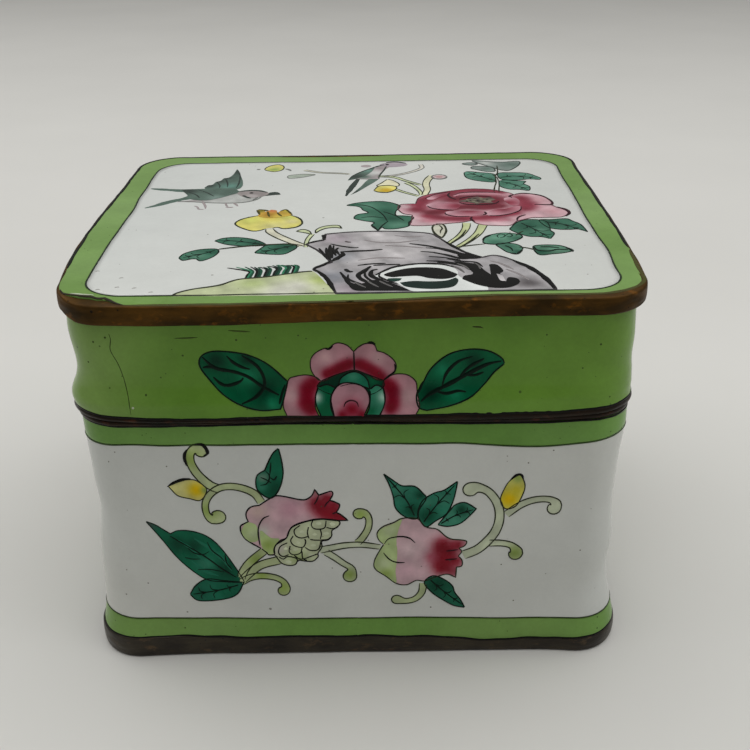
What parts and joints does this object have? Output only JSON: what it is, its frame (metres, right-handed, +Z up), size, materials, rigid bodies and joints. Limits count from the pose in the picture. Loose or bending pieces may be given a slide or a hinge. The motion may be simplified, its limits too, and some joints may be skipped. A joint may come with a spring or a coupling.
{
  "type": "lidded enamel box",
  "caption": "Small rounded-rectangular copper box with painted enamel faces, bare metal rims and a loose lid that drops over an inner collar.",
  "frame": {"origin": "middle of the foot's underside, where the box stands", "axes": "+X along the box's length, to the right of the front; +Y from the front face to the back; +Z up, the way the lid lifts off"},
  "size_m": [0.104, 0.095, 0.075],
  "materials": {
    "bare_metal": "dark brown patina over bare copper, rubbed lighter on the edges",
    "copper_sheet": "fired copper sheet, hidden under the enamel",
    "green_enamel": "glossy fired leaf-green enamel with fine pits",
    "white_enamel": "glossy fired white enamel, painted with flowers and birds",
    "inner_enamel": "glossy fired turquoise enamel"
  },
  "bodies": {
    "base": {"base_collar": "bare_metal", "base_floor_enamel": "inner_enamel", "base_floor_plate": "copper_sheet", "base_inner_enamel": "inner_enamel", "base_lower_green_enamel": "green_enamel", "base_rim_wire": "bare_metal", "base_underside_enamel": "inner_enamel", "base_upper_green_enamel": "green_enamel", "base_wall": "copper_sheet", "base_wall_enamel": "white_enamel", "foot_band": "bare_metal"},
    "lid": {"lid_border_enamel": "green_enamel", "lid_ceiling_enamel": "inner_enamel", "lid_edge_band": "bare_metal", "lid_inner_enamel": "inner_enamel", "lid_panel_enamel": "white_enamel", "lid_rim_wire": "bare_metal", "lid_top_plate": "copper_sheet", "lid_wall": "copper_sheet", "lid_wall_enamel": "green_enamel"}
  },
  "joints": [
    {"name": "lid_lift", "type": "slide", "parent": "base", "child": "lid", "axis": [0, 0, 1], "range_m": [0, 0.06]}
  ]
}
